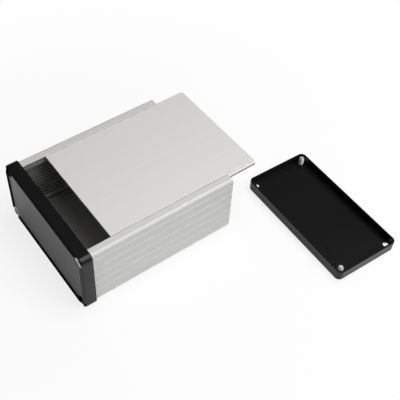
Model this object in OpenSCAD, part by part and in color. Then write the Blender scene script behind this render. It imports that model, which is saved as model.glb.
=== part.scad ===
// Extruded aluminium enclosure with a slide-in cover and two moulded end caps.
// One cap is fitted and holds two screws. The other is off and lies face down beside
// the case with its own two screws standing in it. The cover is slid part of the way out.
// X runs along the extrusion, Y across it and Z up from its underside.

/* [Case] */
// Length of the extrusion
body_length = 120; // [60:1:240]
// Width of the extrusion
body_width = 100.5; // [70:0.5:160]
// Height of the extrusion
body_height = 50.2; // [36:0.2:90]
// Radius of its four long outer edges
corner_radius = 2.5; // [2.2:0.1:3.5]
// Thickness of the side walls behind the card slots
wall = 1.5; // [1.2:0.1:2.4]
// Thickness of the floor
floor_thickness = 1.6; // [1.2:0.1:2.4]
// Height of the raised strip along each side of the floor
strip_height = 0.8; // [0.4:0.1:1.2]
// Distance of that strip's inner edge from the outer side
strip_reach = 9; // [7.5:0.5:14]

/* [Card slots] */
// Height of the lowest slot's middle above the underside
slot_first = 7.3; // [7:0.1:12]
// Distance from slot to slot
slot_pitch = 3.5; // [2.8:0.1:6]
// Width of a slot
slot_width = 1.9; // [1.2:0.1:2.2]
// Depth of a slot
slot_depth = 1.85; // [1:0.05:2.4]

/* [Side lines] */
// Height of the lowest line above the underside
line_first = 3; // [2.6:0.1:6]
// Distance from line to line
line_pitch = 8.24; // [4:0.01:12]
// Width of a line's mouth
line_width = 0.7; // [0.4:0.1:1]
// Depth of a line
line_depth = 0.4; // [0.2:0.05:0.6]

/* [Cover] */
// Thickness of the cover plate, and of its edge flanges
plate_thickness = 1.7; // [1.2:0.1:2.2]
// How far each flange reaches out under its lip
flange_reach = 1.75; // [1:0.05:2]
// Width of each lip that frames the cover
lip_width = 6.8; // [6.6:0.1:8]
// Distance that the cover is slid out
cover_out = 24.2; // [0:0.1:100]
// Length of the cover is shorter than the extrusion by this at each end
end_play = 0.2; // [0.1:0.05:0.5]
// Sliding clearance above and below a flange
slide_clearance = 0.1; // [0.05:0.01:0.2]
// Gap at the side of the cover plate
seam_gap = 0.35; // [0.2:0.05:0.6]
// Thickness of the rail under each flange
rail_thickness = 1.9; // [1.4:0.1:2.6]
// Bevel on the edges of the cover plate and the lips
edge_bevel = 0.3; // [0.1:0.05:0.5]

/* [End caps] */
// Depth of a cap from its rim to its back edge
cap_depth = 10; // [9:0.5:16]
// How far the extrusion goes into a cap
cap_insert = 5.7; // [4:0.1:5.7]
// Thickness of the wall round the tray
cap_wall = 1.3; // [1.2:0.1:2]
// Clearance between the tray and the extrusion
cap_clearance = 0.2; // [0.1:0.05:0.4]
// Radius of the front edge
cap_round = 2.8; // [1.5:0.1:3]
// Width of the rim round the sunk face
rim_width = 1.5; // [1.2:0.1:3]
// Depth of the sunk face behind the rim
face_recess = 1; // [0.4:0.1:1.2]
// Turn of the loose cap's long side from the Y axis, in degrees
loose_turn = -1.97; // [-5:0.01:5]
// Distance from the open end to the middle of the loose cap
loose_gap = 60.5; // [30:0.5:120]
// Distance of the loose cap's middle from the extrusion's centre plane
loose_side = 81.5; // [60:0.5:160]

/* [Screws] */
// Distance of each screw from the two nearest sides of the extrusion
screw_inset = 3.07; // [3:0.01:3.3]
// Radius of a screw port in the extrusion
port_radius = 1.65; // [1.4:0.05:1.65]
// Width of the slot along which a lower port is open to the inside
port_mouth = 2; // [1:0.1:2]
// Radius of a screw's head
head_radius = 4; // [3:0.1:4]
// Height of a screw's head
head_height = 2.4; // [1.8:0.1:2.6]
// Length of a screw under its head
screw_length = 8; // [6:0.5:16]
// Clearance of a screw's core in its port
core_clearance = 0.05; // [0.02:0.01:0.1]
// Clearance round a screw's head in its counterbore
head_clearance = 0.3; // [0.2:0.05:0.3]
// Depth of a counterbore
head_seat = 3.2; // [2.6:0.1:3.4]
// Radius of the hole that a screw goes through
screw_hole = 2.2; // [2.1:0.05:2.4]

/* [Hidden] */
$fn = 64;
eps = 0.5; // how far a cut runs past the face it starts from

body_end = body_length / 2;
half_width = body_width / 2;
rib_face = half_width - wall - slot_depth;
floor_top = floor_thickness + strip_height;

// Heights of the cover and of the groove that its flanges run in
plate_under = body_height - plate_thickness;
flange_under = plate_under - plate_thickness;
rail_top = flange_under - slide_clearance;
rail_under = rail_top - rail_thickness;
lip_under = plate_under + slide_clearance;

// Distances from the centre plane of the cover's edges and of what they run beside
lip_edge = half_width - lip_width;
plate_edge = lip_edge - seam_gap;
flange_edge = plate_edge + flange_reach;
groove_edge = flange_edge + 0.3;
web_thickness = plate_thickness;

cover_length = body_length - 2 * end_play;

// Slots stop short of the solid web that carries the rail
rail_web = 3.5;
slot_limit = rail_under - rail_web - slot_width / 2;
slot_count = floor((slot_limit - slot_first) / slot_pitch) + 1;

// Lines stop short of the rounded top edge
line_limit = body_height - corner_radius - 3;
line_count = floor((line_limit - line_first) / line_pitch) + 1;

// Screw ports, one near each corner of the section
port_y = half_width - screw_inset;
port_low = screw_inset;
port_high = body_height - screw_inset;
port_wall = 1.1;
port_turn = 160; // direction of a lower port's slot, from +Y
upper_mouth = 1.3; // height of the slot between an upper port and the cover groove

// Cap outline
cap_overhang = cap_wall + cap_clearance;
cap_long = body_width + 2 * cap_overhang;
cap_short = body_height + 2 * cap_overhang;
cap_radius = corner_radius + cap_overhang;
tray_radius = corner_radius + cap_clearance;
cap_plate = cap_depth - cap_insert;
back_bevel = 0.3;

// A round wider than the rim cuts the rim back by this from where the front would be
round_reach = max(0, cap_round - rim_width);
rim_drop = cap_round - sqrt(cap_round * cap_round - round_reach * round_reach);
shell_depth = cap_depth + rim_drop;
ground = -cap_overhang;

// Screws on one diagonal, as [side along the cap, side across it]
FIRST = [-1, 1];
SECOND = [1, -1];
screw_long = body_width / 2 - screw_inset;
screw_short = body_height / 2 - screw_inset;
core_radius = port_radius - core_clearance;
head_gap = 0.8; // a fitted head's top lies this far behind the front of the cap
tip_bevel = 0.5;
crown = 0.6; // rise of the head's domed top
recess_arm = 1;
recess_span = 4.2;
recess_depth = 1.3;

// Gate mark on the tray floor
gate_radius = 1.3;
gate_depth = 0.4;
gate_long = 27.5;
gate_short = 17;

// Rectangle with rounded corners, centred on the origin
module rounded_rect(w, h, r) {
    square([w - 2 * r, h], center = true);
    square([w, h - 2 * r], center = true);
    for (x = [-1, 1], y = [-1, 1]) translate([x * (w / 2 - r), y * (h / 2 - r)]) circle(r);
}

// Rectangle given by two corners
module block(y0, z0, y1, z1) {
    translate([y0, z0]) square([y1 - y0, z1 - z0]);
}

// Both sides of a half section
module both_sides() {
    children();
    mirror([1, 0]) children();
}

// A section in Y and Z, drawn out along X from x0
module along_x(x0, length) {
    translate([x0, 0, 0]) rotate([90, 0, 90]) linear_extrude(length) children();
}

// Cut between the side walls: room inside, the way up through the top, cover groove and slots
module half_cavity() {
    block(-eps, floor_top, rib_face, rail_under);
    block(-eps, floor_thickness, half_width - strip_reach, floor_top + eps);
    block(-eps, rail_under - eps, lip_edge, body_height + eps);
    block(0, rail_top, groove_edge, lip_under);
    for (i = [0 : slot_count - 1])
        translate([0, slot_first + i * slot_pitch - slot_width / 2])
            square([half_width - wall, slot_width]);
    polygon([
        [lip_edge - eps, body_height + eps], [lip_edge - eps, body_height - edge_bevel],
        [lip_edge, body_height - edge_bevel], [lip_edge + edge_bevel, body_height],
        [lip_edge + edge_bevel, body_height + eps]
    ]);
}

// Ribs round the lower ports, where they stand clear of the walls
module port_ribs() {
    for (side = [-1, 1]) translate([side * port_y, port_low]) circle(port_radius + port_wall);
}

// The ports, with the slots that open them
module half_ports() {
    for (z = [port_low, port_high]) translate([port_y, z]) circle(port_radius);
    translate([port_y, port_low]) rotate(port_turn)
        translate([0, -port_mouth / 2]) square([port_radius + port_wall + 1, port_mouth]);
    block(groove_edge - eps, rail_top, port_y, rail_top + upper_mouth);
}

// Fine V lines along a side
module half_lines() {
    for (i = [0 : line_count - 1]) translate([half_width, line_first + i * line_pitch])
        polygon([
            [-line_depth, 0], [0, line_width / 2], [eps, line_width / 2],
            [eps, -line_width / 2], [0, -line_width / 2]
        ]);
}

module body_section() {
    difference() {
        union() {
            difference() {
                translate([0, body_height / 2]) rounded_rect(body_width, body_height, corner_radius);
                both_sides() half_cavity();
            }
            port_ribs();
        }
        both_sides() {
            half_ports();
            half_lines();
        }
    }
}

module cover_section() {
    half = [
        [plate_edge - edge_bevel, body_height], [plate_edge, body_height - edge_bevel],
        [plate_edge, plate_under], [flange_edge, plate_under], [flange_edge, flange_under],
        [plate_edge - web_thickness, flange_under], [plate_edge - web_thickness, plate_under]
    ];
    polygon(concat(half, [for (i = [len(half) - 1 : -1 : 0]) [-half[i][0], half[i][1]]]));
}

// Edge of a cap in section: half its width across, its depth upwards, front at the bottom
module cap_edge(half) {
    square([half - cap_round, cap_round + eps]);
    translate([0, cap_round]) square([half, shell_depth - back_bevel - cap_round]);
    intersection() {
        translate([half - cap_round, cap_round]) circle(cap_round);
        square([half, cap_round + eps]);
    }
    polygon([
        [0, shell_depth - back_bevel - eps], [half, shell_depth - back_bevel - eps],
        [half, shell_depth - back_bevel], [half - back_bevel, shell_depth], [0, shell_depth]
    ]);
}

// Outside of a cap, rounded at its front and round its corners
module cap_shell() {
    long_run = cap_long - 2 * cap_radius;
    short_run = cap_short - 2 * cap_radius;
    for (turn = [0, 180]) rotate(turn) {
        translate([-long_run / 2, 0, 0]) rotate([90, 0, 90])
            linear_extrude(long_run) cap_edge(cap_short / 2);
        translate([0, short_run / 2, 0]) rotate([90, 0, 0])
            linear_extrude(short_run) cap_edge(cap_long / 2);
    }
    for (x = [-1, 1], y = [-1, 1]) translate([x * long_run / 2, y * short_run / 2, 0])
        rotate_extrude() cap_edge(cap_radius);
}

// A cap with its rim on the XY plane, its long side along X and its tray open upwards
module end_cap() {
    difference() {
        translate([0, 0, -rim_drop]) cap_shell();
        translate([0, 0, -eps]) linear_extrude(face_recess + eps)
            rounded_rect(cap_long - 2 * rim_width, cap_short - 2 * rim_width, cap_radius - rim_width);
        translate([0, 0, cap_plate]) linear_extrude(cap_insert + eps)
            rounded_rect(cap_long - 2 * cap_wall, cap_short - 2 * cap_wall, tray_radius);
        for (x = [-1, 1], y = [-1, 1]) translate([x * screw_long, y * screw_short, 0]) {
            translate([0, 0, -eps]) cylinder(r = head_radius + head_clearance, h = head_seat + eps);
            cylinder(r = screw_hole, h = cap_depth);
        }
        translate([gate_long, -gate_short, cap_plate - gate_depth])
            cylinder(r = gate_radius, h = gate_depth + eps);
    }
}

// Half section of a screw: the top of its head on the axis at 0, its point upwards
module screw_profile() {
    tip = head_height + screw_length;
    dome = (head_radius * head_radius + crown * crown) / (2 * crown);
    intersection() {
        translate([0, dome]) circle(dome, $fn = 256);
        square([head_radius, head_height]);
    }
    polygon([
        [0, head_height - eps], [core_radius, head_height - eps], [core_radius, tip - tip_bevel],
        [core_radius - tip_bevel, tip], [0, tip]
    ]);
}

module screw() {
    difference() {
        rotate_extrude() screw_profile();
        for (a = [0, 90]) rotate(a) translate([-recess_span / 2, -recess_arm / 2, -eps])
            cube([recess_span, recess_arm, recess_depth + eps]);
    }
}

// Where the caps lie
module place_fitted() {
    translate([-body_end - cap_plate, 0, body_height / 2]) rotate([90, 0, 90]) children();
}

module place_loose() {
    translate([body_end + loose_gap, -loose_side, ground]) rotate(loose_turn - 90) children();
}

module screw_at(side, height) {
    translate([side[0] * screw_long, side[1] * screw_short, height]) screw();
}

module extruded_body() {
    color("silver") along_x(-body_end, body_length) body_section();
}

module slide_cover() {
    color("gainsboro") along_x(-body_end + cover_out, cover_length) cover_section();
}

module fitted_end_cap() {
    color("dimgray") place_fitted() end_cap();
}

module loose_end_cap() {
    color("dimgray") place_loose() end_cap();
}

module fitted_screw_upper() {
    color("lightgray") place_fitted() screw_at(FIRST, head_seat - head_height);
}

module fitted_screw_lower() {
    color("lightgray") place_fitted() screw_at(SECOND, head_seat - head_height);
}

module loose_screw_far() {
    color("lightgray") place_loose() screw_at(FIRST, 0);
}

module loose_screw_near() {
    color("lightgray") place_loose() screw_at(SECOND, 0);
}

extruded_body();
slide_cover();
fitted_end_cap();
loose_end_cap();
fitted_screw_upper();
fitted_screw_lower();
loose_screw_far();
loose_screw_near();
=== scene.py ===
"""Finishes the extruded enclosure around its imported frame: metal, plastic, threads, light and camera."""

import math

import bmesh
import bpy
from bpy.props import FloatProperty, FloatVectorProperty, IntProperty, PointerProperty
from mathutils import Matrix, Vector


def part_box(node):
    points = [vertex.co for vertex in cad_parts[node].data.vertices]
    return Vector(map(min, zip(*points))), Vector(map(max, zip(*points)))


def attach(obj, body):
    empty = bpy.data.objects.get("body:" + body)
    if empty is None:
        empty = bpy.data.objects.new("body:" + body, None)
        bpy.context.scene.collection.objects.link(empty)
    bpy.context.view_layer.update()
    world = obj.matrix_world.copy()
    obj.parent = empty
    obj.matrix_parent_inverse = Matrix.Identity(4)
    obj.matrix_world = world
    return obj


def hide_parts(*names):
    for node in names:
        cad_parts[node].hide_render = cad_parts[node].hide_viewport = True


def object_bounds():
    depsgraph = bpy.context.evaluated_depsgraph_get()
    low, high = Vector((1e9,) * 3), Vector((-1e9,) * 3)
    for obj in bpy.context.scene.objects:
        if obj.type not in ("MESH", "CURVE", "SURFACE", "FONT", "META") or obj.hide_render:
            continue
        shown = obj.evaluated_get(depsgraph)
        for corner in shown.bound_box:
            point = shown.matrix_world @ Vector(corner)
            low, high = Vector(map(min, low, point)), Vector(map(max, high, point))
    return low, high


bl_info = {
    "name": "Extruded Enclosure",
    "version": (1, 0, 0),
    "blender": (4, 5, 0),
    "location": "View3D > Sidebar > Enclosure",
    "description": "Finishes an extruded aluminium enclosure, its cover, end caps and screws",
    "category": "Object",
}

MM = 0.001

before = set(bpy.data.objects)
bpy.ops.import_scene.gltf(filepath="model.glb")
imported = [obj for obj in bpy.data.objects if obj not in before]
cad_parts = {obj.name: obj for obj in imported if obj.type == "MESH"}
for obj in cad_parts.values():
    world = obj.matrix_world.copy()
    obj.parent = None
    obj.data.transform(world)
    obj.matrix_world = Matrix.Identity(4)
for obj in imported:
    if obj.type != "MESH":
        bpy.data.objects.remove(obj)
CAD_LOW, CAD_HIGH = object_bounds()
BODY_LOW, BODY_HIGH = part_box("extruded_body")
GROUND = CAD_LOW.z
CENTRE = (BODY_LOW + BODY_HIGH) / 2

# What the camera looks at, from the middle of the extrusion, and how far the picture is shifted
AIM = Vector((27.3, 0.8, 0)) * MM
SHIFT = (0.1185, -0.053)

# The lamps' places, from the middle of the extrusion, and the side of each
KEY_PLACE = Vector((0.25, -0.18, 1.05))
FRONT_PLACE = Vector((0.4, -0.75, 0.75))
LAMP_SIZE = 0.8

# The screws' plain core and the height of their heads
CORE_RADIUS = 1.6 * MM
HEAD_HEIGHT = 2.4 * MM

# Where the floor begins to fade into plain white, and where it is all white
FLOOR_NEAR = 0.08
FLOOR_FAR = 0.35

# Each screw's node, the piece that stands for it, and the way its point faces
SCREWS = {
    "fitted_screw_upper": ("upper_fitted_screw", "+X"),
    "fitted_screw_lower": ("lower_fitted_screw", "+X"),
    "loose_screw_far": ("far_loose_screw", "+Z"),
    "loose_screw_near": ("near_loose_screw", "+Z"),
}


# ---------------------------------------------------------------- settings


class MetalSettings(bpy.types.PropertyGroup):
    """Colours and finish of the extrusion and its cover."""

    body_colour: FloatVectorProperty(
        name="Body colour", description="Colour of the extrusion's anodised metal",
        subtype="COLOR", size=3, min=0, max=1, default=(0.67, 0.667, 0.655))
    cover_colour: FloatVectorProperty(
        name="Cover colour", description="Colour of the cover's anodised metal",
        subtype="COLOR", size=3, min=0, max=1, default=(0.77, 0.76, 0.735))
    body_roughness: FloatProperty(
        name="Body roughness", description="Roughness of the extrusion",
        subtype="FACTOR", min=0, max=1, default=0.64)
    cover_roughness: FloatProperty(
        name="Cover roughness", description="Roughness of the cover",
        subtype="FACTOR", min=0, max=1, default=0.6)
    metal_share: FloatProperty(
        name="Metal share",
        description="Share of the light that the anodised skin reflects as bare metal does",
        subtype="FACTOR", min=0, max=1, default=0.4)
    # Painted shade: the metal's colour is darkened between the walls, where the hollow lies in shade.
    inside_painted_shade: FloatProperty(
        name="Inside tone",
        description="How bright the metal is between the walls, as a share of its outside",
        subtype="FACTOR", min=0, max=1, default=0.52)
    # Painted light: the colour is lightened in the sides' shallow grooves, where their lower faces would
    # catch the light.
    groove_painted_light: FloatProperty(
        name="Groove tone",
        description="How bright the metal is in the sides' shallow grooves, as a share of its outside",
        min=0, max=1.4, default=1.22)
    die_line_spacing: FloatProperty(
        name="Die line spacing", description="Width of the faint lines that the die leaves along the metal",
        subtype="DISTANCE", min=0.0001, max=0.005, default=0.0005)
    die_line_length: FloatProperty(
        name="Die line length", description="Length of those lines",
        subtype="DISTANCE", min=0.01, max=1, default=0.16)


class PlasticSettings(bpy.types.PropertyGroup):
    """Colour and finish of the moulded end caps."""

    colour: FloatVectorProperty(
        name="Cap colour", description="Colour of the black plastic",
        subtype="COLOR", size=3, min=0, max=1, default=(0.003, 0.003, 0.0035))
    roughness: FloatProperty(
        name="Cap roughness", description="Roughness of the moulded surface",
        subtype="FACTOR", min=0, max=1, default=0.25)
    grain_size: FloatProperty(
        name="Grain size", description="Size of the mould's fine grain",
        subtype="DISTANCE", min=0.0001, max=0.005, default=0.0004)


class ScrewSettings(bpy.types.PropertyGroup):
    """Thread and finish of the four screws."""

    colour: FloatVectorProperty(
        name="Screw colour", description="Colour of the plated steel",
        subtype="COLOR", size=3, min=0, max=1, default=(0.60, 0.60, 0.59))
    roughness: FloatProperty(
        name="Screw roughness", description="Roughness of the plating",
        subtype="FACTOR", min=0, max=1, default=0.45)
    crest_radius: FloatProperty(
        name="Crest radius", description="Radius over the thread",
        subtype="DISTANCE", unit="LENGTH", min=0.0017, max=0.0021, default=0.002)
    pitch: FloatProperty(
        name="Pitch", description="Distance from thread to thread",
        subtype="DISTANCE", unit="LENGTH", min=0.0008, max=0.003, default=0.0013)
    steps: IntProperty(
        name="Steps per turn", description="Points of the thread in one turn",
        min=12, max=96, default=36)


class StageSettings(bpy.types.PropertyGroup):
    """Camera, light and floor."""

    azimuth: FloatProperty(
        name="Azimuth", description="Way that the camera looks, turned from +Y",
        subtype="ANGLE", default=math.radians(-34.48))
    elevation: FloatProperty(
        name="Elevation", description="Height of the camera over the horizon",
        subtype="ANGLE", default=math.radians(48.36))
    distance: FloatProperty(
        name="Distance", description="Distance from the camera to what it looks at",
        subtype="DISTANCE", unit="LENGTH", min=0.1, max=5, default=0.558)
    lens: FloatProperty(
        name="Lens", description="Focal length of the camera",
        subtype="DISTANCE_CAMERA", min=10, max=300, default=68.5)
    sky_light: FloatProperty(
        name="Sky light", description="Strength of the light from all round",
        min=0, max=5, default=0.2)
    key_light: FloatProperty(
        name="Key light", description="Power of the large lamp overhead",
        subtype="POWER", min=0, max=100, default=8.4)
    front_light: FloatProperty(
        name="Front light",
        description="Power of the lamp in front, which lights the near side's lines",
        subtype="POWER", min=0, max=100, default=4.0)


# ---------------------------------------------------------------- node helpers


def add_node(tree, kind, **values):
    """A new node, with its sockets set by name and its other settings by attribute."""
    node = tree.nodes.new(kind)
    for key, value in values.items():
        if key in node.inputs:
            node.inputs[key].default_value = value
        else:
            setattr(node, key, value)
    return node


def new_group(name, inputs, outputs):
    """An empty shader node group. Inputs are name: (kind, default) and outputs are name: kind."""
    tree = bpy.data.node_groups.new(name, "ShaderNodeTree")
    for label, (kind, default) in inputs.items():
        socket = tree.interface.new_socket(label, in_out="INPUT", socket_type=kind)
        socket.default_value = default
    for label, kind in outputs.items():
        tree.interface.new_socket(label, in_out="OUTPUT", socket_type=kind)
    return tree, tree.nodes.new("NodeGroupInput"), tree.nodes.new("NodeGroupOutput")


def use_group(tree, group, **values):
    """A group placed in a material, with its own values."""
    node = tree.nodes.new("ShaderNodeGroup")
    node.node_tree = group
    for key, value in values.items():
        node.inputs[key.replace("_", " ")].default_value = value
    return node


def die_lines_group():
    """Faint lines along X, as the die draws them: a mask from 0 to 1 and a height."""
    name = "Die lines"
    if name in bpy.data.node_groups:
        return bpy.data.node_groups[name]
    tree, entry, result = new_group(
        name,
        {"Spacing": ("NodeSocketFloat", 0.0005), "Length": ("NodeSocketFloat", 0.16)},
        {"Mask": "NodeSocketFloat", "Height": "NodeSocketFloat"})
    place = add_node(tree, "ShaderNodeTexCoord")
    across = add_node(tree, "ShaderNodeMath", operation="DIVIDE")
    across.inputs[0].default_value = 1
    along = add_node(tree, "ShaderNodeMath", operation="DIVIDE")
    along.inputs[0].default_value = 1
    scale = add_node(tree, "ShaderNodeCombineXYZ")
    stretch = add_node(tree, "ShaderNodeVectorMath", operation="MULTIPLY")
    fine = add_node(tree, "ShaderNodeTexNoise", Scale=1.0, Detail=3.0, Roughness=0.6)
    broad = add_node(tree, "ShaderNodeTexNoise", Scale=0.12, Detail=2.0, Roughness=0.5)
    both = add_node(tree, "ShaderNodeMath", operation="ADD")
    half = add_node(tree, "ShaderNodeMath", operation="MULTIPLY")
    half.inputs[1].default_value = 0.5
    link = tree.links.new
    link(entry.outputs["Spacing"], across.inputs[1])
    link(entry.outputs["Length"], along.inputs[1])
    link(along.outputs[0], scale.inputs["X"])
    link(across.outputs[0], scale.inputs["Y"])
    link(across.outputs[0], scale.inputs["Z"])
    link(place.outputs["Object"], stretch.inputs[0])
    link(scale.outputs[0], stretch.inputs[1])
    link(stretch.outputs[0], fine.inputs["Vector"])
    link(stretch.outputs[0], broad.inputs["Vector"])
    link(fine.outputs["Fac"], both.inputs[0])
    link(broad.outputs["Fac"], both.inputs[1])
    link(both.outputs[0], half.inputs[0])
    link(half.outputs[0], result.inputs["Mask"])
    link(fine.outputs["Fac"], result.inputs["Height"])
    return tree


def grain_group():
    """Even fine grain of a moulded or plated surface: a mask from 0 to 1 and a height."""
    name = "Grain"
    if name in bpy.data.node_groups:
        return bpy.data.node_groups[name]
    tree, entry, result = new_group(
        name, {"Size": ("NodeSocketFloat", 0.0004)},
        {"Mask": "NodeSocketFloat", "Height": "NodeSocketFloat"})
    place = add_node(tree, "ShaderNodeTexCoord")
    scale = add_node(tree, "ShaderNodeMath", operation="DIVIDE")
    scale.inputs[0].default_value = 1
    noise = add_node(tree, "ShaderNodeTexNoise", Detail=3.0, Roughness=0.65)
    link = tree.links.new
    link(entry.outputs["Size"], scale.inputs[1])
    link(place.outputs["Object"], noise.inputs["Vector"])
    link(scale.outputs[0], noise.inputs["Scale"])
    link(noise.outputs["Fac"], result.inputs["Mask"])
    link(noise.outputs["Fac"], result.inputs["Height"])
    return tree


def band_group():
    """1 where the distance from the middle line and the height are both within their limits."""
    name = "Band"
    if name in bpy.data.node_groups:
        return bpy.data.node_groups[name]
    tree, entry, result = new_group(
        name,
        {"Inner": ("NodeSocketFloat", 0.0), "Outer": ("NodeSocketFloat", 0.05),
         "Bottom": ("NodeSocketFloat", 0.0), "Top": ("NodeSocketFloat", 0.05)},
        {"Mask": "NodeSocketFloat"})
    place = add_node(tree, "ShaderNodeTexCoord")
    parts = add_node(tree, "ShaderNodeSeparateXYZ")
    across = add_node(tree, "ShaderNodeMath", operation="ABSOLUTE")
    link = tree.links.new
    link(place.outputs["Object"], parts.inputs[0])
    link(parts.outputs["Y"], across.inputs[0])
    mask = None
    for value, limit, test in (
        (across.outputs[0], "Inner", "GREATER_THAN"),
        (across.outputs[0], "Outer", "LESS_THAN"),
        (parts.outputs["Z"], "Bottom", "GREATER_THAN"),
        (parts.outputs["Z"], "Top", "LESS_THAN"),
    ):
        step = add_node(tree, "ShaderNodeMath", operation=test)
        link(value, step.inputs[0])
        link(entry.outputs[limit], step.inputs[1])
        if mask is None:
            mask = step.outputs[0]
            continue
        both = add_node(tree, "ShaderNodeMath", operation="MULTIPLY")
        link(mask, both.inputs[0])
        link(step.outputs[0], both.inputs[1])
        mask = both.outputs[0]
    link(mask, result.inputs["Mask"])
    return tree


def handling_group():
    """Soft patches left by hands and storage: a roughness that varies about a middle value."""
    name = "Handling"
    if name in bpy.data.node_groups:
        return bpy.data.node_groups[name]
    tree, entry, result = new_group(
        name,
        {"Middle": ("NodeSocketFloat", 0.4), "Spread": ("NodeSocketFloat", 0.06),
         "Mask": ("NodeSocketFloat", 0.5)},
        {"Roughness": "NodeSocketFloat"})
    place = add_node(tree, "ShaderNodeTexCoord")
    patches = add_node(tree, "ShaderNodeTexNoise", Scale=28.0, Detail=2.0, Roughness=0.5)
    both = add_node(tree, "ShaderNodeMath", operation="ADD")
    centred = add_node(tree, "ShaderNodeMath", operation="SUBTRACT")
    centred.inputs[1].default_value = 1
    spread = add_node(tree, "ShaderNodeMath", operation="MULTIPLY")
    total = add_node(tree, "ShaderNodeMath", operation="ADD", use_clamp=True)
    link = tree.links.new
    link(place.outputs["Object"], patches.inputs["Vector"])
    link(patches.outputs["Fac"], both.inputs[0])
    link(entry.outputs["Mask"], both.inputs[1])
    link(both.outputs[0], centred.inputs[0])
    link(centred.outputs[0], spread.inputs[0])
    link(entry.outputs["Spread"], spread.inputs[1])
    link(spread.outputs[0], total.inputs[0])
    link(entry.outputs["Middle"], total.inputs[1])
    link(total.outputs[0], result.inputs["Roughness"])
    return tree


def tone(colour, factor):
    """A colour with alpha, lighter or darker by a factor."""
    return tuple(min(1, channel * factor) for channel in colour) + (1,)


def colour_by_mask(tree, mask, low, high, start, end):
    """A ramp from one colour to the other as a mask rises from start to end."""
    ramp = tree.nodes.new("ShaderNodeValToRGB")
    ramp.color_ramp.elements[0].position = start
    ramp.color_ramp.elements[0].color = low
    ramp.color_ramp.elements[1].position = end
    ramp.color_ramp.elements[1].color = high
    tree.links.new(mask, ramp.inputs["Fac"])
    return ramp.outputs["Color"]


def paint_over(tree, below, mask, colour):
    """A colour laid over another where the mask is 1."""
    mixed = add_node(tree, "ShaderNodeMix", data_type="RGBA")
    tree.links.new(mask, mixed.inputs[0])
    tree.links.new(below, mixed.inputs[6])
    mixed.inputs[7].default_value = colour
    return mixed.outputs[2]


# ---------------------------------------------------------------- materials


def start_material(name):
    """A node material and its Principled shader."""
    material = bpy.data.materials.new(name)
    material.use_nodes = True
    return material, material.node_tree, material.node_tree.nodes["Principled BSDF"]


def add_bump(tree, shader, height, strength, distance):
    """Fine relief from a height."""
    bump = add_node(tree, "ShaderNodeBump", Strength=strength, Distance=distance)
    tree.links.new(height, bump.inputs["Height"])
    tree.links.new(bump.outputs["Normal"], shader.inputs["Normal"])


def surface_by_mask(tree, shader, mask, colour, tones, roughness, spread):
    """Roughness that follows a mask and the handling, and the colour between two tones of it."""
    handled = use_group(tree, handling_group(), Middle=roughness, Spread=spread)
    tree.links.new(mask, handled.inputs["Mask"])
    tree.links.new(handled.outputs["Roughness"], shader.inputs["Roughness"])
    return colour_by_mask(tree, mask, tone(colour, tones[0]), tone(colour, tones[1]), 0.35, 0.65)


def anodised_metal(name, colour, roughness, metal):
    """Satin aluminium with the die's faint lines, with painted shade between the walls and painted light in
    the grooves.
    """
    material, tree, shader = start_material(name)
    lines = use_group(
        tree, die_lines_group(), Spacing=metal.die_line_spacing, Length=metal.die_line_length)
    tint = surface_by_mask(tree, shader, lines.outputs["Mask"], colour, (0.985, 1.012), roughness, 0.03)
    shaded_inside = use_group(
        tree, band_group(),
        Inner=-1.0, Outer=BODY_HIGH.y - 1.45 * MM,
        Bottom=BODY_LOW.z + 0.2 * MM, Top=BODY_HIGH.z - 1.7 * MM)
    grooves = use_group(
        tree, band_group(),
        Inner=BODY_HIGH.y - 1.2 * MM, Outer=BODY_HIGH.y - 0.05 * MM,
        Bottom=BODY_LOW.z + 3 * MM, Top=BODY_HIGH.z - 4 * MM)
    # Painted shade: darker colour between the walls, where the hollow lies in shade.
    tint = paint_over(tree, tint, shaded_inside.outputs["Mask"], tone(colour, metal.inside_painted_shade))
    # Painted light: lighter colour in the sides' shallow grooves.
    tint = paint_over(tree, tint, grooves.outputs["Mask"], tone(colour, metal.groove_painted_light))
    tree.links.new(tint, shader.inputs["Base Color"])
    shader.inputs["Metallic"].default_value = metal.metal_share
    add_bump(tree, shader, lines.outputs["Height"], 0.05, 0.00003)
    return material


def moulded_plastic(plastic):
    """Black semi-gloss plastic with a mould's fine grain."""
    material, tree, shader = start_material("moulded_black_plastic")
    grain = use_group(tree, grain_group(), Size=plastic.grain_size)
    tint = surface_by_mask(
        tree, shader, grain.outputs["Mask"], plastic.colour, (0.85, 1.2), plastic.roughness, 0.08)
    tree.links.new(tint, shader.inputs["Base Color"])
    shader.inputs["IOR"].default_value = 1.36
    add_bump(tree, shader, grain.outputs["Height"], 0.08, 0.00005)
    return material


def plated_steel(screws):
    """Dull zinc-plated steel."""
    material, tree, shader = start_material("plated_steel")
    grain = use_group(tree, grain_group(), Size=0.0006)
    tint = surface_by_mask(
        tree, shader, grain.outputs["Mask"], screws.colour, (0.9, 1.08), screws.roughness, 0.12)
    tree.links.new(tint, shader.inputs["Base Color"])
    shader.inputs["Metallic"].default_value = 0.5
    add_bump(tree, shader, grain.outputs["Height"], 0.1, 0.00005)
    return material


def give_material(node_name, material):
    """Puts a material on a CAD node in place of its plain one."""
    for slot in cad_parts[node_name].material_slots:
        slot.material = material


# ---------------------------------------------------------------- screw thread


def thread_ring(angle, climb, width, root, crest):
    """Four corners of the thread's section at one angle, in the screw's own frame."""
    level = [(root, -width), (crest, -width / 4), (crest, width / 4), (root, width)]
    return [Vector((r * math.cos(angle), r * math.sin(angle), climb + dz)) for r, dz in level]


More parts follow.
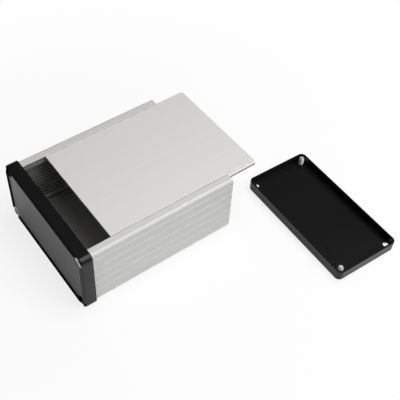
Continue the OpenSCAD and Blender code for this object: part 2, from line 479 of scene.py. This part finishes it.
def add_thread(mesh, low, high, root, screws):
    """A helical ridge round the core from low to high, which fades in and out at its ends."""
    turns = (high - low) / screws.pitch
    count = int(turns * screws.steps)
    width = screws.pitch * 0.36
    fade = screws.steps * 0.5
    rings = []
    for i in range(count + 1):
        rise = min(1, i / fade, (count - i) / fade)
        crest = root + (screws.crest_radius - root) * max(0.02, rise)
        climb = low + (high - low) * i / count
        ring = thread_ring(math.tau * i / screws.steps, climb, width, root - 0.1 * MM, crest)
        rings.append([mesh.verts.new(point) for point in ring])
    for ring, following in zip(rings, rings[1:]):
        for a in range(4):
            b = (a + 1) % 4
            mesh.faces.new((ring[a], ring[b], following[b], following[a]))
    mesh.faces.new(list(reversed(rings[0])))
    mesh.faces.new(rings[-1])


def threaded_screw(node_name, piece_name, facing, screws, material):
    """The CAD screw with its thread, in the node's own place."""
    low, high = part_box(node_name)
    if facing == "+X":
        start = Vector((high.x, (low.y + high.y) / 2, (low.z + high.z) / 2))
        turn = Matrix.Rotation(math.pi / 2, 4, "Y")
        length = high.x - low.x
    else:
        start = Vector(((low.x + high.x) / 2, (low.y + high.y) / 2, high.z))
        turn = Matrix.Identity(4)
        length = high.z - low.z
    ridge = bmesh.new()
    add_thread(ridge, -(length - HEAD_HEIGHT - 0.5 * MM), -0.3 * MM, CORE_RADIUS, screws)
    bmesh.ops.recalc_face_normals(ridge, faces=ridge.faces)
    ridge.transform(Matrix.Translation(start) @ turn)
    thread = bpy.data.meshes.new("thread")
    ridge.to_mesh(thread)
    ridge.free()
    whole = bmesh.new()
    whole.from_mesh(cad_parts[node_name].data)
    whole.from_mesh(thread)
    mesh = bpy.data.meshes.new(piece_name)
    whole.to_mesh(mesh)
    whole.free()
    bpy.data.meshes.remove(thread)
    mesh.materials.append(material)
    piece = bpy.data.objects.new(piece_name, mesh)
    bpy.context.scene.collection.objects.link(piece)
    for polygon in mesh.polygons:
        polygon.material_index = 0
    mesh.set_sharp_from_angle(angle=math.radians(35))
    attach(piece, "enclosure")
    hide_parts(node_name)
    return piece


# ---------------------------------------------------------------- stage


def floor_material():
    """Pale floor: real shade near the case, plain white further off."""
    material = bpy.data.materials.new("pale_floor")
    material.use_nodes = True
    tree = material.node_tree
    tree.nodes.clear()
    link = tree.links.new
    place = add_node(tree, "ShaderNodeNewGeometry")
    offset = add_node(tree, "ShaderNodeVectorMath", operation="DISTANCE")
    offset.inputs[1].default_value = (CENTRE.x, CENTRE.y, GROUND)
    path = add_node(tree, "ShaderNodeLightPath")
    reflected = add_node(tree, "ShaderNodeMath", operation="MAXIMUM")
    share = add_node(tree, "ShaderNodeMath", operation="MAXIMUM")
    lit = add_node(tree, "ShaderNodeBsdfDiffuse", Color=(0.92, 0.92, 0.92, 1))
    white = add_node(tree, "ShaderNodeEmission", Color=(1, 1, 1, 1), Strength=1.0)
    mixed = add_node(tree, "ShaderNodeMixShader")
    result = add_node(tree, "ShaderNodeOutputMaterial")
    link(place.outputs["Position"], offset.inputs[0])
    for ray, share_near, socket in (
        ("Is Camera Ray", 0.8, share.inputs[0]),
        ("Is Glossy Ray", 0.24, reflected.inputs[0]),
        ("Is Transmission Ray", 0.3, reflected.inputs[1]),
    ):
        fade = add_node(tree, "ShaderNodeMapRange", interpolation_type="SMOOTHSTEP")
        fade.inputs["From Min"].default_value = FLOOR_NEAR
        fade.inputs["From Max"].default_value = FLOOR_FAR
        fade.inputs["To Min"].default_value = share_near
        fade.inputs["To Max"].default_value = 1.0
        part = add_node(tree, "ShaderNodeMath", operation="MULTIPLY")
        link(offset.outputs["Value"], fade.inputs["Value"])
        link(fade.outputs["Result"], part.inputs[0])
        link(path.outputs[ray], part.inputs[1])
        link(part.outputs[0], socket)
    link(reflected.outputs[0], share.inputs[1])
    link(share.outputs[0], mixed.inputs["Fac"])
    link(lit.outputs[0], mixed.inputs[1])
    link(white.outputs[0], mixed.inputs[2])
    link(mixed.outputs[0], result.inputs["Surface"])
    return material


def add_floor():
    """A wide round floor at the height of the table."""
    disc = bmesh.new()
    bmesh.ops.create_circle(disc, cap_ends=True, radius=6, segments=96)
    mesh = bpy.data.meshes.new("floor")
    disc.to_mesh(mesh)
    disc.free()
    mesh.materials.append(floor_material())
    floor = bpy.data.objects.new("floor", mesh)
    floor.location = (CENTRE.x, CENTRE.y, GROUND - 0.05 * MM)
    bpy.context.scene.collection.objects.link(floor)


def add_world(stage):
    """Soft light from above that darkens towards the horizon, with a white background."""
    world = bpy.data.worlds.new("soft_studio")
    bpy.context.scene.world = world
    world.use_nodes = True
    tree = world.node_tree
    tree.nodes.clear()
    link = tree.links.new
    way = add_node(tree, "ShaderNodeTexCoord")
    parts = add_node(tree, "ShaderNodeSeparateXYZ")
    ramp = add_node(tree, "ShaderNodeMapRange", interpolation_type="SMOOTHSTEP")
    ramp.inputs["From Min"].default_value = 0.2
    ramp.inputs["From Max"].default_value = 0.7
    ramp.inputs["To Min"].default_value = 0.08
    ramp.inputs["To Max"].default_value = stage.sky_light
    path = add_node(tree, "ShaderNodeLightPath")
    sky = add_node(tree, "ShaderNodeBackground", Color=(1, 1, 1, 1))
    white = add_node(tree, "ShaderNodeBackground", Color=(1, 1, 1, 1), Strength=1.0)
    mixed = add_node(tree, "ShaderNodeMixShader")
    result = add_node(tree, "ShaderNodeOutputWorld")
    link(way.outputs["Generated"], parts.inputs[0])
    link(parts.outputs["Z"], ramp.inputs["Value"])
    link(ramp.outputs["Result"], sky.inputs["Strength"])
    link(path.outputs["Is Camera Ray"], mixed.inputs["Fac"])
    link(sky.outputs[0], mixed.inputs[1])
    link(white.outputs[0], mixed.inputs[2])
    link(mixed.outputs[0], result.inputs["Surface"])


def add_lamp(name, place, aim, size, power):
    """A square soft lamp that faces a point."""
    lamp = bpy.data.lights.new(name, "AREA")
    lamp.size = size
    lamp.energy = power
    holder = bpy.data.objects.new(name, lamp)
    holder.location = place
    holder.rotation_euler = (Vector(aim) - Vector(place)).to_track_quat("-Z", "Y").to_euler()
    bpy.context.scene.collection.objects.link(holder)


def add_camera(stage):
    """The camera, a lens length and a shift that frame the case and the loose cap."""
    camera = bpy.data.cameras.new("camera")
    camera.lens = stage.lens
    camera.sensor_width = 36
    camera.shift_x, camera.shift_y = SHIFT
    camera.clip_start = 0.01
    camera.clip_end = 50
    back = Vector((
        math.sin(stage.azimuth) * math.cos(stage.elevation),
        -math.cos(stage.azimuth) * math.cos(stage.elevation),
        math.sin(stage.elevation)))
    holder = bpy.data.objects.new("camera", camera)
    holder.location = CENTRE + AIM + back * stage.distance
    holder.rotation_euler = (math.pi / 2 - stage.elevation, 0, stage.azimuth)
    bpy.context.scene.collection.objects.link(holder)
    bpy.context.scene.camera = holder


# ---------------------------------------------------------------- operators


class ENCLOSURE_OT_body(bpy.types.Operator):
    """Give the extrusion its anodised finish, with painted shade between its walls and painted light in its
    grooves
    """

    bl_idname = "enclosure.body"
    bl_label = "Extruded body"

    def execute(self, context):
        metal = context.scene.enclosure_metal
        give_material(
            "extruded_body",
            anodised_metal("anodised_body", metal.body_colour, metal.body_roughness, metal))
        return {"FINISHED"}


class ENCLOSURE_OT_cover(bpy.types.Operator):
    """Give the sliding cover its anodised finish"""

    bl_idname = "enclosure.cover"
    bl_label = "Slide cover"

    def execute(self, context):
        metal = context.scene.enclosure_metal
        give_material(
            "slide_cover",
            anodised_metal("anodised_cover", metal.cover_colour, metal.cover_roughness, metal))
        return {"FINISHED"}


class ENCLOSURE_OT_caps(bpy.types.Operator):
    """Give both end caps their moulded black plastic"""

    bl_idname = "enclosure.caps"
    bl_label = "End caps"

    def execute(self, context):
        plastic = moulded_plastic(context.scene.enclosure_plastic)
        for node_name in ("fitted_end_cap", "loose_end_cap"):
            give_material(node_name, plastic)
        return {"FINISHED"}


class ENCLOSURE_OT_screws(bpy.types.Operator):
    """Make the four screws with their threads"""

    bl_idname = "enclosure.screws"
    bl_label = "Screws"

    def execute(self, context):
        screws = context.scene.enclosure_screws
        steel = plated_steel(screws)
        for node_name, (piece_name, facing) in SCREWS.items():
            threaded_screw(node_name, piece_name, facing, screws, steel)
        return {"FINISHED"}


class ENCLOSURE_OT_stage(bpy.types.Operator):
    """Set up the floor, the light and the camera"""

    bl_idname = "enclosure.stage"
    bl_label = "Stage"

    def execute(self, context):
        stage = context.scene.enclosure_stage
        add_world(stage)
        add_floor()
        add_lamp("key_lamp", CENTRE + KEY_PLACE, CENTRE, LAMP_SIZE, stage.key_light)
        add_lamp("front_lamp", CENTRE + FRONT_PLACE, CENTRE, LAMP_SIZE, stage.front_light)
        add_camera(stage)
        context.scene.view_settings.view_transform = "Standard"
        return {"FINISHED"}


class ENCLOSURE_PT_panel(bpy.types.Panel):
    """Lists the enclosure's steps and settings"""

    bl_idname = "ENCLOSURE_PT_panel"
    bl_label = "Extruded Enclosure"
    bl_space_type = "VIEW_3D"
    bl_region_type = "UI"
    bl_category = "Enclosure"

    def draw(self, context):
        for settings in (
            context.scene.enclosure_metal, context.scene.enclosure_plastic,
            context.scene.enclosure_screws, context.scene.enclosure_stage,
        ):
            box = self.layout.box()
            for name in settings.__annotations__:
                box.prop(settings, name)
        for operator in OPERATORS:
            self.layout.operator(operator.bl_idname)


SETTINGS = {
    "enclosure_metal": MetalSettings,
    "enclosure_plastic": PlasticSettings,
    "enclosure_screws": ScrewSettings,
    "enclosure_stage": StageSettings,
}
OPERATORS = (
    ENCLOSURE_OT_body, ENCLOSURE_OT_cover, ENCLOSURE_OT_caps, ENCLOSURE_OT_screws, ENCLOSURE_OT_stage,
)


def register():
    for settings in SETTINGS.values():
        bpy.utils.register_class(settings)
    for name, settings in SETTINGS.items():
        setattr(bpy.types.Scene, name, PointerProperty(type=settings))
    for operator in OPERATORS:
        bpy.utils.register_class(operator)
    bpy.utils.register_class(ENCLOSURE_PT_panel)


def unregister():
    bpy.utils.unregister_class(ENCLOSURE_PT_panel)
    for operator in reversed(OPERATORS):
        bpy.utils.unregister_class(operator)
    for name in SETTINGS:
        delattr(bpy.types.Scene, name)
    for settings in reversed(SETTINGS.values()):
        bpy.utils.unregister_class(settings)


def main():
    register()
    bpy.ops.enclosure.body()
    bpy.ops.enclosure.cover()
    bpy.ops.enclosure.caps()
    bpy.ops.enclosure.screws()
    bpy.ops.enclosure.stage()


if __name__ == "__main__":
    main()
